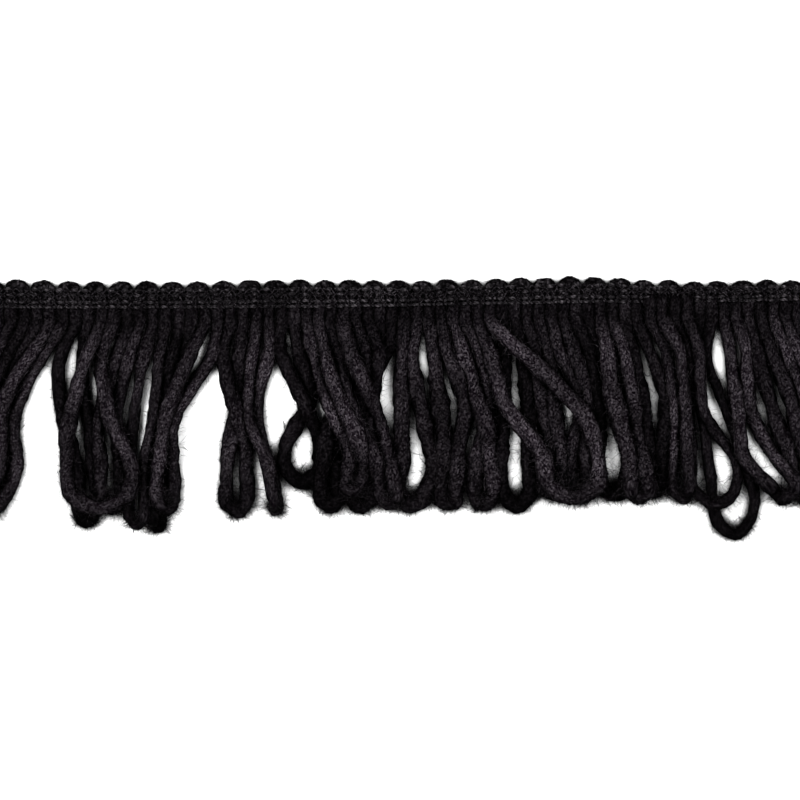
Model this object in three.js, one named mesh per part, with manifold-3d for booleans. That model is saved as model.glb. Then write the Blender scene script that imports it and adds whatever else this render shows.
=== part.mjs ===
// Loop fringe trim laid flat on a table: a cut length of a stitched heading with a scalloped top
// edge, and one thick soft yarn that hangs from it in long loops. The yarn turns once over each
// scallop, so a loop hangs below every dip between two scallops.
// Millimetres. X runs along the heading, Y towards its scallops, and Z up from the table.
// The origin lies on the heading's flat back, halfway along it.

import * as THREE from "three";
import { mergeVertices } from "three/addons/utils/BufferGeometryUtils.js";
import Module from "manifold-3d";

const wasm = await Module();
wasm.setup();

// Scallops come a little closer together along the length
const STRETCHES = [
  { scallops: 13, pitch: 6.45 },
  { scallops: 10, pitch: 6.1 },
  { scallops: 13, pitch: 6.16 },
];

// Lower edge of the heading and crest line of its scallops: the band wavers as it lies
const EDGE_LINES = [
  { along: -113, low: -3.6, high: 3.6 },
  { along: -64, low: -3.7, high: 3.0 },
  { along: -26, low: -3.5, high: 3.6 },
  { along: -1, low: -3.1, high: 3.4 },
  { along: 24, low: -2.6, high: 3.9 },
  { along: 47, low: -2.25, high: 4.5 },
  { along: 67, low: -2.1, high: 3.2 },
  { along: 113, low: -1.5, high: 3.6 },
];

// Columns of points across one scallop: place from dip to dip, and share of a stitch's rise there
const SCALLOP_COLUMNS = [
  { across: 0, stitch: 0 },
  { across: 0.1, stitch: 0.4 },
  { across: 0.28, stitch: 1 },
  { across: 0.5, stitch: 0 },
  { across: 0.72, stitch: 1 },
  { across: 0.9, stitch: 0.4 },
];

// Rows of points up the heading's face: share of its height, what the scallop's arc adds to that
// share, thickness, what the arc adds to the thickness, and how far a stitch is raised
const FACE_ROWS = [
  { share: 0, bulge: 0, thick: 1.5, crown: 0, stitch: 0 },
  { share: 0.08, bulge: 0, thick: 2.2, crown: 0, stitch: 0.7 },
  { share: 0.19, bulge: 0, thick: 2.0, crown: 0, stitch: 0 },
  { share: 0.3, bulge: 0, thick: 2.2, crown: 0, stitch: 0.7 },
  { share: 0.43, bulge: 0, thick: 2.0, crown: 0, stitch: 0 },
  { share: 0.56, bulge: 0, thick: 2.2, crown: 0, stitch: 0.7 },
  { share: 0.66, bulge: 0, thick: 1.8, crown: 0.4, stitch: 0 },
  { share: 0.7, bulge: 0.15, thick: 1.7, crown: 1.0, stitch: 0 },
  { share: 0.74, bulge: 0.26, thick: 1.0, crown: 0.6, stitch: 0 },
];

// Narrow strip below the heading, into which the loops' legs are fused
const STRIP_GAP = 0.3;
const STRIP_WIDTH = 1.4;
const STRIP_BOTTOM = 0.3;
const STRIP_THICK = 1.8;

// Yarn of the loops: a four-sided strand, flattened as it lies. Strands whose middles are side by
// side pass each other level, and one that lies straight across another clears it by the rise.
const YARN_WIDTH = 2.7;
const YARN_HEIGHT = 2.1;
const SIDE_BY_SIDE = YARN_WIDTH + 0.15;
const CROSSING_RISE = YARN_HEIGHT + 0.6;
const FLOOR_HEIGHT = YARN_HEIGHT / 2;

// A leg leaves its root this far to the side of the dip, and runs straight for the stub
const LEG_OFFSET = 1.53;
const STUB = 2;

// Levels of a loop as shares of its drop
const HIGH_LEVEL = 0.235;
const MID_LEVEL = 0.52;
const LOW_LEVEL = 0.785;

// Turned end of a loop: its width as a share of the legs' gap, its narrowest half width, the gap
// below which it stands on edge, and how far above the end its shoulders lie, by its half width
// and at most by the room under the low level
const END_WIDTH = 0.92;
const EYE = 1.9;
const EDGE_ON_GAP = 2.5;
const SHOULDER_RISE = 0.95;
const SHOULDER_LIMIT = 0.35;

// Steps of the strand along each span of a leg, from its root to the loop's end
const SPAN_STEPS = [1, 2, 2, 3, 2, 3];

// First station of a strand, from either root, that the strip doesn't hold
const FIRST_FREE = 1;

// A laid strand sags by this much per square millimetre between what holds it up
const SAG = 0.03;
const SETTLE_ROUNDS = 300;
const LIFT_ROUNDS = 60;
const SAMPLES_PER_STEP = 4;

// One row for each loop, from the left. At the high, middle and low levels a loop has swung
// sideways by sway, with its two legs gap apart, below zero where they cross. Then come the sway of
// its end, its drop from the heading's lower edge to the yarn's middle there, and its layer in the
// pile, counted up from the table.
const LOOP_COLUMNS = [
  "highSway", "highGap", "midSway", "midGap", "lowSway", "lowGap", "tipSway", "drop", "layer",
];
const LOOPS = [
  [-3, 3, -6.5, 3, -7, 3, -7, 49, 0],
  [-4, 3, -8.5, 3, -9, 3, -9.5, 50.5, 1],
  [-4, 3, -9.5, 3, -10.5, 3, -11.5, 51.5, 0],
  [-5, 3, -12, 3, -12, 4, -16, 50.5, 2],
  [-2.5, 6, -1.5, 6, 1.25, 3.6, 1.25, 53, 0],
  [-3.25, 3.5, -4.25, 9, -2.1, 16.25, -2, 49.5, 2],
  [-2.5, 3, -6.3, 4.25, -5.8, 4.75, -5.5, 49.5, 1],
  [-2, 4, -4, 5, -5.5, 3, -5.5, 53.5, 1],
  [-1.5, 3, -4.5, 2, -7, 2, -7, 54.5, 0],
  [-2.5, 5.5, -9.6, 2, -11.4, 3.2, -11.2, 50, 2],
  [-1.5, 4, 0, -0.5, 0, -5, 0, 50.5, 1],
  [-0.5, 4, -2.6, 2, 1.75, 0.5, 3.2, 50.5, 2],
  [0, 4.5, 4.5, 2, 3.5, -8.5, 3.5, 43.5, 0],
  [1.5, 3, 5.6, 3, 11, 3, 10, 45.5, 3],
  [1.9, 3, 6.6, 6, 11, 2.9, 13, 48.5, 2],
  [2.6, 3.4, 0.6, 2.2, 0, 5.5, 0, 49.5, 1],
  [-1.5, 3, -11.5, 3, -14.3, 3.2, -14, 49.5, 0],
  [-0.9, 2.4, 0.2, 4.9, 1.7, 7.6, 0.5, 49.5, 1],
  [1.3, 3.3, 4.6, 6.6, 3.6, 2.9, 3.5, 49, 1],
  [3.2, 4.6, 6.4, 2, 6, -3.5, 6, 49.5, 2],
  [5, 7.5, 14.1, 17.8, 21.5, 13.5, 22, 48, 3],
  [1.25, 4, 1.9, 6.1, 1.5, 7, 2, 50, 0],
  [2, 3, 3.5, 3, 5.5, 3, 5, 47, 1],
  [2.2, 3.5, 6.5, 2.5, 5.5, 3, 6.5, 48, 1],
  [3, 3, 6, 3, 7.3, 8, 7.5, 47.5, 0],
  [1.9, 4, 4.1, 4.5, 7, 3, 8, 48, 2],
  [2, 4.5, 5.7, 5.9, 5.8, 3, 5.4, 47, 0],
  [4, 3, 5.6, 2.9, 6.3, 2.9, 6.3, 48.5, 2],
  [3, 2.5, 3.9, 3, 8, 11, 8.5, 50.5, 1],
  [-1.3, 2.9, 3.1, 6.9, 6.5, 10, 7, 58, 0],
  [2, 4, 3.2, 3.2, 7.2, 7.4, 13, 49, 2],
  [2, 4, 6.6, 5, 10.4, 3.5, 13, 49, 1],
  [3, 3, 8.5, 3, 11.5, 3, 11.5, 49.5, 2],
  [3, 3, 7.5, 2.5, 10, 2.5, 10, 50.5, 1],
  [2, 3, 6, 2.5, 7.5, 3, 8, 50, 0],
].map((row) => Object.fromEntries(LOOP_COLUMNS.map((name, column) => [name, row[column]])));

// Value of an edge line at a place along the heading, eased from station to station
function edgeLine(name, along) {
  const next = EDGE_LINES.findIndex((station) => station.along >= along);
  const after = EDGE_LINES[Math.max(next, 1)];
  const before = EDGE_LINES[Math.max(next, 1) - 1];
  const share = THREE.MathUtils.smoothstep(along, before.along, after.along);
  return THREE.MathUtils.lerp(before[name], after[name], share);
}

// Places of the dips between scallops, from one cut end of the heading to the other
function dipPlaces() {
  const length = STRETCHES.reduce((sum, stretch) => sum + stretch.scallops * stretch.pitch, 0);
  const dips = [-length / 2];
  for (const stretch of STRETCHES) {
    for (let count = 0; count < stretch.scallops; count += 1) {
      dips.push(dips.at(-1) + stretch.pitch);
    }
  }
  return dips;
}

// Closed slab with a flat back at z = 0 under a grid of points on its face. The grid's rows run up
// in Y and its columns along X.
function slabUnder(face) {
  const onBack = (point) => new THREE.Vector3(point.x, point.y, 0);
  const ring = [face[0].map(onBack), ...face, face.at(-1).map(onBack)];
  const columns = face[0].length;
  const triangles = [];
  const at = (row, column) => (row % ring.length) * columns + column;

  // Face, walls and back in turn, from row to row round the slab
  for (let row = 0; row < ring.length; row += 1) {
    for (let column = 0; column < columns - 1; column += 1) {
      triangles.push(at(row, column), at(row, column + 1), at(row + 1, column + 1));
      triangles.push(at(row, column), at(row + 1, column + 1), at(row + 1, column));
    }
  }

  // Cut ends, fanned out from the lower corner of the back
  for (let row = 1; row < ring.length - 1; row += 1) {
    triangles.push(at(0, 0), at(row, 0), at(row + 1, 0));
    triangles.push(at(0, columns - 1), at(row + 1, columns - 1), at(row, columns - 1));
  }
  const slab = new THREE.BufferGeometry().setFromPoints(ring.flat());
  slab.setIndex(triangles);
  return slab;
}

// Heading: rows of raised stitches below a scalloped edge, with an arched crown on each scallop
function headingGeometry(dips) {
  const columns = [];
  for (let scallop = 0; scallop < dips.length - 1; scallop += 1) {
    for (const { across, stitch } of SCALLOP_COLUMNS) {
      const along = THREE.MathUtils.lerp(dips[scallop], dips[scallop + 1], across);
      columns.push({ along, stitch, arc: Math.sqrt(1 - (2 * across - 1) ** 2) });
    }
  }
  columns.push({ along: dips.at(-1), stitch: 0, arc: 0 });

  const face = FACE_ROWS.map((row) => columns.map(({ along, stitch, arc }) => {
    const share = row.share + row.bulge * arc;
    const up = THREE.MathUtils.lerp(edgeLine("low", along), edgeLine("high", along), share);
    return new THREE.Vector3(along, up, row.thick + row.crown * arc + row.stitch * stitch);
  }));
  return slabUnder(face);
}

// Strip that follows the heading's lower edge
function stripGeometry(dips) {
  const upper = dips.map((along) => new THREE.Vector2(along, edgeLine("low", along) - STRIP_GAP));
  const lower = upper.map((corner) => new THREE.Vector2(corner.x, corner.y - STRIP_WIDTH));
  const strip = new THREE.ExtrudeGeometry(new THREE.Shape([...lower, ...upper.reverse()]), {
    depth: STRIP_THICK,
    bevelEnabled: false,
  });
  return strip.translate(0, 0, STRIP_BOTTOM);
}

// Corner points of a loop's route seen from above, from the left root round its end to the right
function loopCorners(dip, loop) {
  const top = edgeLine("low", dip);
  const root = top - STRIP_GAP - STRIP_WIDTH / 2;
  const stub = top - STRIP_GAP - STRIP_WIDTH - STUB;
  const end = top - loop.drop;
  const edgeOn = Math.abs(loop.lowGap) < EDGE_ON_GAP;
  const turn = Math.max(END_WIDTH * Math.abs(loop.lowGap) / 2, edgeOn ? 0 : EYE);
  const room = (1 - LOW_LEVEL) * loop.drop;
  const rise = Math.min(SHOULDER_RISE * Math.max(turn, EYE), SHOULDER_LIMIT * room);

  const legCorners = (side) => [
    new THREE.Vector3(dip + side * LEG_OFFSET, root, 0),
    new THREE.Vector3(dip + side * LEG_OFFSET, stub, 0),
    new THREE.Vector3(dip + loop.highSway + side * loop.highGap / 2, top - HIGH_LEVEL * loop.drop, 0),
    new THREE.Vector3(dip + loop.midSway + side * loop.midGap / 2, top - MID_LEVEL * loop.drop, 0),
    new THREE.Vector3(dip + loop.lowSway + side * loop.lowGap / 2, top - LOW_LEVEL * loop.drop, 0),
    new THREE.Vector3(dip + loop.tipSway + side * turn * Math.sign(loop.lowGap), end + rise, 0),
  ];
  const tip = new THREE.Vector3(dip + loop.tipSway, end, 0);
  return [...legCorners(-1), tip, ...legCorners(1).reverse()];
}

// Stations of the strand along its smoothed route, still flat on the table
function loopStations(corners) {
  const curve = new THREE.CatmullRomCurve3(corners, false, "centripetal");
  const spans = [...SPAN_STEPS, ...SPAN_STEPS.toReversed()];
  const stations = [corners[0].clone()];
  spans.forEach((steps, span) => {
    for (let step = 1; step <= steps; step += 1) {
      stations.push(curve.getPoint((span + step / steps) / spans.length));
    }
  });
  return stations;
}

// Height at which a strand's middle clears the steps of other strands under a spot
function clearHeight(spot, steps) {
  let height = FLOOR_HEIGHT;
  const nearest = new THREE.Vector3();
  for (const [start, finish] of steps) {
    const run = Math.hypot(finish.x - start.x, finish.y - start.y);
    const forward = (spot.x - start.x) * (finish.x - start.x) + (spot.y - start.y) * (finish.y - start.y);
    nearest.lerpVectors(start, finish, THREE.MathUtils.clamp(forward / run ** 2, 0, 1));
    const distance = Math.hypot(spot.x - nearest.x, spot.y - nearest.y);
    if (distance < SIDE_BY_SIDE) {
      height = Math.max(height, nearest.z + CROSSING_RISE * (1 - distance / SIDE_BY_SIDE));
    }
  }
  return height;
}

const stepsOf = (stations) => stations.slice(1).map((finish, index) => [stations[index], finish]);

// Rests of a strand between two of its stations: spots where it lies on other steps, and how high
function restsOver(stations, first, last, steps) {
  const rests = [];
  const spot = new THREE.Vector3();
  for (let index = first; index < last; index += 1) {
    for (let sample = 0; sample < SAMPLES_PER_STEP; sample += 1) {
      const share = sample / SAMPLES_PER_STEP;
      spot.lerpVectors(stations[index], stations[index + 1], share);
      const height = clearHeight(spot, steps);
      if (height > FLOOR_HEIGHT) rests.push({ index, share, height });
    }
  }
  return rests;
}

// Lifts the stations beside each rest just enough for the strand to clear it
function liftOnto(stations, rests) {
  for (const { index, share, height } of rests) {
    const start = stations[index];
    const finish = stations[index + 1];
    const shortfall = height - THREE.MathUtils.lerp(start.z, finish.z, share);
    if (shortfall > 0) {
      const spread = (1 - share) ** 2 + share ** 2;
      start.z += shortfall * (1 - share) / spread;
      finish.z += shortfall * share / spread;
    }
  }
}

// Lets the stations from first to last down onto their rests, with the strand sagging between them
function settle(stations, first, last, rests) {
  for (let round = 0; round < SETTLE_ROUNDS; round += 1) {
    for (let index = first; index <= last; index += 1) {
      const [before, here, after] = stations.slice(index - 1, index + 2);
      const back = Math.hypot(here.x - before.x, here.y - before.y);
      const forth = Math.hypot(after.x - here.x, after.y - here.y);
      const held = THREE.MathUtils.lerp(before.z, after.z, back / (back + forth));
      here.z = Math.max(FLOOR_HEIGHT, held - SAG * back * forth);
    }
    liftOnto(stations, rests);
  }
  for (let round = 0; round < LIFT_ROUNDS; round += 1) liftOnto(stations, rests);
}

// Lays one loop over those already there, then its higher leg over its lower one where they meet.
// The stations then start at the root of the higher leg.
function layLoop(stations, laidSteps) {
  for (const station of stations) station.z = FLOOR_HEIGHT;
  const lastFree = stations.length - 1 - FIRST_FREE;
  settle(stations, FIRST_FREE, lastFree, restsOver(stations, FIRST_FREE, lastFree, laidSteps));

  const tip = (stations.length - 1) / 2;
  const pile = (leg) => leg.reduce((sum, station) => sum + station.z, 0);
  if (pile(stations.slice(tip)) > pile(stations.slice(0, tip + 1))) stations.reverse();
  const upperShoulder = tip - SPAN_STEPS.at(-1);
  const lowerShoulder = tip + SPAN_STEPS.at(-1);
  const upper = stations[upperShoulder];
  const lower = stations[lowerShoulder];
  const apart = Math.hypot(upper.x - lower.x, upper.y - lower.y);
  const rise = Math.sqrt(Math.max((2 * EYE) ** 2 - apart ** 2, 0));
  settle(stations, FIRST_FREE, lowerShoulder - 1, [
    ...restsOver(stations, FIRST_FREE, lowerShoulder, laidSteps),
    ...restsOver(stations, FIRST_FREE, upperShoulder, stepsOf(stations.slice(lowerShoulder))),
    { index: upperShoulder, share: 0, height: lower.z + rise },
  ]);
}

// Route that puts one step of a strand at each of its stations
class StationRoute extends THREE.Curve {
  constructor(stations) {
    super();
    this.stations = stations;
  }

  getPoint(share, target = new THREE.Vector3()) {
    const place = share * (this.stations.length - 1);
    const index = THREE.MathUtils.clamp(Math.floor(place), 0, this.stations.length - 2);
    return target.lerpVectors(this.stations[index], this.stations[index + 1], place - index);
  }

  getUtoTmapping(share) {
    return share;
  }

  // Frames that keep a section level across the route
  computeFrenetFrames(steps) {
    const frames = { tangents: [], normals: [], binormals: [] };
    for (let step = 0; step <= steps; step += 1) {
      const tangent = this.getTangentAt(step / steps);
      const binormal = new THREE.Vector3(-tangent.y, tangent.x, 0).normalize();
      frames.tangents.push(tangent);
      frames.binormals.push(binormal);
      frames.normals.push(new THREE.Vector3().crossVectors(binormal, tangent));
    }
    return frames;
  }
}

// Four-sided strand along its stations
function strandGeometry(stations) {
  const section = new THREE.Shape([
    new THREE.Vector2(YARN_HEIGHT / 2, 0),
    new THREE.Vector2(0, YARN_WIDTH / 2),
    new THREE.Vector2(-YARN_HEIGHT / 2, 0),
    new THREE.Vector2(0, -YARN_WIDTH / 2),
  ]);
  return new THREE.ExtrudeGeometry(section, {
    steps: stations.length - 1,
    extrudePath: new StationRoute(stations),
  });
}

function solidFrom(geometry) {
  const bare = geometry.clone();
  bare.deleteAttribute("normal");
  bare.deleteAttribute("uv");
  const merged = mergeVertices(bare);
  return new wasm.Manifold(new wasm.Mesh({
    numProp: 3,
    vertProperties: new Float32Array(merged.attributes.position.array),
    triVerts: new Uint32Array(merged.index.array),
  }));
}

function geometryFrom(solid) {
  const mesh = solid.getMesh();
  const geometry = new THREE.BufferGeometry();
  geometry.setAttribute("position", new THREE.BufferAttribute(mesh.vertProperties, 3));
  geometry.setIndex(new THREE.BufferAttribute(mesh.triVerts, 1));
  return geometry;
}

// Fringe: the loops are laid layer by layer, then fused at their roots into the strip
function fringeGeometry(dips) {
  const strands = LOOPS.map((loop, index) => ({
    loop,
    stations: loopStations(loopCorners(dips[index + 1], loop)),
  }));
  const laidSteps = [];
  for (const { stations } of strands.toSorted((a, b) => a.loop.layer - b.loop.layer)) {
    layLoop(stations, laidSteps);
    laidSteps.push(...stepsOf(stations));
  }
  const strip = solidFrom(stripGeometry(dips));
  return geometryFrom(strands.reduce(
    (fringe, { stations }) => fringe.add(solidFrom(strandGeometry(stations))),
    strip,
  ));
}

function namedMesh(name, geometry, material) {
  geometry.computeVertexNormals();
  const mesh = new THREE.Mesh(geometry, material);
  mesh.name = name;
  return mesh;
}

const headingThread = new THREE.MeshStandardMaterial({ color: 0x1f1d20, roughness: 0.8, metalness: 0 });
const fringeYarn = new THREE.MeshStandardMaterial({ color: 0x19171a, roughness: 0.95, metalness: 0 });

const dips = dipPlaces();
const trim = new THREE.Group();
trim.add(namedMesh("heading", headingGeometry(dips), headingThread));
trim.add(namedMesh("loop_fringe", fringeGeometry(dips), fringeYarn));

export default trim;
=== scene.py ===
"""Loop fringe trim on a pale table: soft black yarn in long loops below a stitched, scalloped heading."""
import math

import bpy
import numpy as np
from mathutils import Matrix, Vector


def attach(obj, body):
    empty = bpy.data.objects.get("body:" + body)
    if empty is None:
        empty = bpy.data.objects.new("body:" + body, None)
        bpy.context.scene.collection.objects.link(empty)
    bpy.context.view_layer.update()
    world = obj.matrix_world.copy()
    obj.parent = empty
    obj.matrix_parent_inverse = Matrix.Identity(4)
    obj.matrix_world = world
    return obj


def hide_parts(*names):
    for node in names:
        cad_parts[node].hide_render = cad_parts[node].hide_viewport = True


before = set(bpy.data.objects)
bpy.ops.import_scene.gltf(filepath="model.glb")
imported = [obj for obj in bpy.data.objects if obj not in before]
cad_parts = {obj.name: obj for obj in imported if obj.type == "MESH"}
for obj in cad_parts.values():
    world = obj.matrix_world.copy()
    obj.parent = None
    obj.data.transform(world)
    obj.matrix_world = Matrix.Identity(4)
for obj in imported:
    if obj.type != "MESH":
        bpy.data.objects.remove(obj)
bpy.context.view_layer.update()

# Every chance value comes from this one seed
SEED = 41
chance = np.random.default_rng(SEED)

# Sizes below are in millimetres and angles in radians, and meshes are made in metres
MM = 0.001

# Scallops of the heading come a little closer together along the length
STRETCHES = [
    {"scallops": 13, "pitch": 6.45},
    {"scallops": 10, "pitch": 6.1},
    {"scallops": 13, "pitch": 6.16},
]

# Lower edge of the heading and crest line of its scallops: the band wavers as it lies
EDGE_LINES = [
    {"along": -113, "low": -3.6, "high": 3.6},
    {"along": -64, "low": -3.7, "high": 3.0},
    {"along": -26, "low": -3.5, "high": 3.6},
    {"along": -1, "low": -3.1, "high": 3.4},
    {"along": 24, "low": -2.6, "high": 3.9},
    {"along": 47, "low": -2.25, "high": 4.5},
    {"along": 67, "low": -2.1, "high": 3.2},
    {"along": 113, "low": -1.5, "high": 3.6},
]

# Rows of stitches: share of the heading's height, and how far its long and short rises stand out
STITCH_ROWS = [
    {"share": 0.07, "long": 1.0, "short": 0.45},
    {"share": 0.25, "long": 1.0, "short": 0.45},
    {"share": 0.51, "long": 0.9, "short": 0.3},
    {"share": 0.68, "long": 1.25, "short": 0.9},
]

# Strip below the heading in which the loops' legs start, as in the solids
STRIP_GAP = 0.3
STRIP_WIDTH = 1.4

# A leg leaves its root this far to the side of the dip, and runs straight for the stub
LEG_OFFSET = 1.53
STUB = 2

# Levels of a loop as shares of its drop
HIGH_LEVEL = 0.235
MID_LEVEL = 0.52
LOW_LEVEL = 0.785

# Turned end of a loop: its width as a share of the legs' gap, its narrowest half width, the gap
# below which it stands on edge, and how far above the end its shoulders lie, by its half width
# and at most by the room under the low level
END_WIDTH = 0.92
EYE = 1.9
EDGE_ON_GAP = 2.5
SHOULDER_RISE = 0.95
SHOULDER_LIMIT = 0.35

# Steps of the strand along each span of a leg, from its root to the loop's end
SPAN_STEPS = [1, 2, 2, 3, 2, 3]

# Strands of the solids, by which the loops are laid. Those whose middles are side by side pass each
# other level, and one that lies straight across another clears it by the rise.
SOLID_WIDTH = 2.7
SOLID_HEIGHT = 2.1
SIDE_GAP = 0.15
CROSSING_GAP = 0.6
SIDE_BY_SIDE = SOLID_WIDTH + SIDE_GAP
CROSSING_RISE = SOLID_HEIGHT + CROSSING_GAP
FLOOR_HEIGHT = SOLID_HEIGHT / 2

# First station of a strand, from either root, that the strip doesn't hold
FIRST_FREE = 1

# A laid strand sags by this much per square millimetre between what holds it up
SAG = 0.03
SETTLE_ROUNDS = 300
LIFT_ROUNDS = 60
SAMPLES_PER_STEP = 4

# One row for each loop, from the left. At the high, middle and low levels a loop has swung sideways
# by sway, with its two legs gap apart, below zero where they cross. Then come the sway of its end,
# its drop from the heading's lower edge, its layer in the pile, counted up from the table, and
# the half width that its yarn blooms to.
LOOP_COLUMNS = [
    "high_sway", "high_gap", "mid_sway", "mid_gap", "low_sway", "low_gap", "tip_sway", "drop", "layer",
    "half_width",
]
LOOP_ROWS = [
    [-3, 3, -6.5, 3, -7, 3, -7, 49, 0, 1.8],
    [-4, 3, -8.5, 3, -9, 3, -9.5, 50.5, 1, 1.8],
    [-4, 3, -9.5, 3, -10.5, 3, -11.5, 51.5, 0, 1.8],
    [-5, 3, -12, 3, -12, 4, -16, 50.5, 2, 1.8],
    [-2.5, 6, -1.5, 6, 1.25, 3.6, 1.25, 53, 0, 1.65],
    [-3.25, 3.5, -4.25, 9, -2.1, 16.25, -2, 49.5, 2, 1.9],
    [-2.5, 3, -6.3, 4.25, -5.8, 4.75, -5.5, 49.5, 1, 1.75],
    [-2, 4, -4, 5, -5.5, 3, -5.5, 53.5, 1, 1.45],
    [-1.5, 3, -4.5, 2, -7, 2, -7, 54.5, 0, 1.5],
    [-2.5, 5.5, -9.6, 2, -11.4, 3.2, -11.2, 50, 2, 1.75],
    [-1.5, 4, 0, -0.5, 0, -5, 0, 50.5, 1, 1.85],
    [-0.5, 4, -2.6, 2, 1.75, 0.5, 3.2, 50.5, 2, 1.55],
    [0, 4.5, 4.5, 2, 3.5, -8.5, 3.5, 43.5, 0, 1.75],
    [1.5, 3, 5.6, 3, 11, 3, 10, 45.5, 3, 2],
    [1.9, 3, 6.6, 6, 11, 2.9, 13, 48.5, 2, 2],
    [2.6, 3.4, 0.6, 2.2, 0, 5.5, 0, 49.5, 1, 2],
    [-1.5, 3, -11.5, 3, -14.3, 3.2, -14, 49.5, 0, 2],
    [-0.9, 2.4, 0.2, 4.9, 1.7, 7.6, 0.5, 49.5, 1, 2.05],
    [1.3, 3.3, 4.6, 6.6, 3.6, 2.9, 3.5, 49, 1, 2.15],
    [3.2, 4.6, 6.4, 2, 6, -3.5, 6, 49.5, 2, 2.1],
    [5, 7.5, 14.1, 17.8, 21.5, 13.5, 22, 48, 3, 2.1],
    [1.25, 4, 1.9, 6.1, 1.5, 7, 2, 50, 0, 1.9],
    [2, 3, 3.5, 3, 5.5, 3, 5, 47, 1, 2],
    [2.2, 3.5, 6.5, 2.5, 5.5, 3, 6.5, 48, 1, 1.9],
    [3, 3, 6, 3, 7.3, 8, 7.5, 47.5, 0, 2],
    [1.9, 4, 4.1, 4.5, 7, 3, 8, 48, 2, 2.2],
    [2, 4.5, 5.7, 5.9, 5.8, 3, 5.4, 47, 0, 1.9],
    [4, 3, 5.6, 2.9, 6.3, 2.9, 6.3, 48.5, 2, 1.55],
    [3, 2.5, 3.9, 3, 8, 11, 8.5, 50.5, 1, 1.35],
    [-1.3, 2.9, 3.1, 6.9, 6.5, 10, 7, 58, 0, 1.4],
    [2, 4, 3.2, 3.2, 7.2, 7.4, 13, 49, 2, 1.75],
    [2, 4, 6.6, 5, 10.4, 3.5, 13, 49, 1, 1.9],
    [3, 3, 8.5, 3, 11.5, 3, 11.5, 49.5, 2, 1.9],
    [3, 3, 7.5, 2.5, 10, 2.5, 10, 50.5, 1, 1.9],
    [2, 3, 6, 2.5, 7.5, 3, 8, 50, 0, 1.9],
]
LOOPS = [dict(zip(LOOP_COLUMNS, row)) for row in LOOP_ROWS]

# Yarn of the loops: half width at its root, the length over which it blooms to its own half width,
# and its height as a share of its width at the root and where it has bloomed
ROOT_HALF_WIDTH = 1.62
BLOOM_LENGTH = 24
ROOT_FLATNESS = 0.55
FLATNESS = 0.8

# It starts this far inside the heading, lies lower than the solids' strand at its root, and rises
# above that strand as it blooms
HEADING_REACH = 3
ROOT_SINK = 0.2
YARN_LIFT = 0.45

# Waves and sizes of the wander of a loop's route, along the heading and across it, and of the share
# by which its thickness wanders
ROUTE_WAVES = 6
ALONG_WANDER = 0.2
ACROSS_WANDER = 0.1
BLOOM_WAVES = 7
BLOOM_WANDER = 0.08

# Sides of a yarn's body, and its rings from one station of the solids' strand to the next
YARN_SIDES = 16
STEPS_PER_STATION = 5

# Ridges of fibre locks on the yarn: how many lie round it, and how far they stand out as a share of
# its half size. They turn round it once in the twist's length, and wander from that by an angle.
RIDGES = [
    {"round": 2, "size": 0.06},
    {"round": 3, "size": 0.07},
    {"round": 5, "size": 0.07},
    {"round": 7, "size": 0.06},
]
TWIST_LENGTH = 34
RIDGE_WAVES = 5
RIDGE_WANDER = 1.5
RIDGE_STARTS = (0, 6)
ROUGH_SKIN = 0.05

# Towards the right the yarn bulges up over the lower stitches, round this place along the heading.
# It goes up and comes down over these lengths from its root.
BULGE_PLACE = 67
BULGE_HALF_WIDTH = 8.5
BULGE_POWER = 4
BULGE_RISE = 1.5
BULGE_UP = (0, 2)
BULGE_DOWN = (6, 16)

# Fibres that lie on the yarn: how many on a loop or scallop, the lengths that they run, their radius,
# how far aslant they lie, and the points along each
LOOP_LYING = {"each": 140, "lengths": (0.8, 4), "radius": 0.07, "slant": 0.35, "steps": 4}
SCALLOP_LYING = {"each": 24, "lengths": (2, 5), "radius": 0.07, "slant": 0, "steps": 4}
SCALLOP_CROSSING = {"each": 60, "lengths": (0.4, 1.6), "radius": 0.06, "slant": 0.9, "steps": 3}

# They start at any share of the yarn, with a part of each before its start, and wander round the yarn
# by an angle. They stand off it by shares of its half size: all along, in ripples and at their ends.
LYING_STARTS = (-0.05, 1)
LYING_BEFORE = 0.2
LYING_WAVES = 0.6
LYING_WANDER = 0.3
LYING_LIFT = 0.08
RIPPLE_WAVES = 1
RIPPLE_LIFT = 0.04
END_LIFT = 0.25
END_LIFT_POWER = 4

# Stray fibres: how many on a loop in each of the parts, or on a scallop, their lengths, radius and
# curl, and the points along each
FUZZ_PARTS = ["first", "second", "third"]
SHORT_FUZZ = {"each": 270, "lengths": (0.5, 3), "radius": 0.048, "curl": 0.35, "steps": 3}
LONG_FUZZ = {"each": 22, "lengths": (2, 7), "radius": 0.048, "curl": 0.5, "steps": 7}
SCALLOP_FUZZ = {"each": 20, "lengths": (0.4, 1.4), "radius": 0.048, "curl": 0.35, "steps": 3}

# They leave the yarn's two sides within a spread of angles, and a share of them leaves near the middle
# of its length, within a spread of shares. They start just inside the yarn, aim away from it and along
# it, bend mostly level, and end in a thin tip.
FUZZ_SPREAD = 0.6
FUZZ_END_SHARE = 0.3
FUZZ_END = 0.5
FUZZ_END_SPREAD = 0.09
FUZZ_ROOT = 0.92
FUZZ_AWAY = (0.5, 1)
FUZZ_ALONG = (0, 1)
FUZZ_BENDS = (0.3, 1)
FUZZ_BEND_AXES = (1, 1, 0.4)
FUZZ_CURL_WAVES = 1
FUZZ_TIP = 0.25

# Fibres have few sides, turned by an angle, and each has its own thickness. Lying ones taper to both
# ends, as this part of half a wave does, and all stay clear of the table.
FIBRE_SIDES = 3
FIBRE_TURN = 0.5
FIBRE_TAPER = (0.04, 0.96)
FIBRE_THICKNESSES = (0.6, 1.3)
TABLE_CLEARANCE = 0.03

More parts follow.
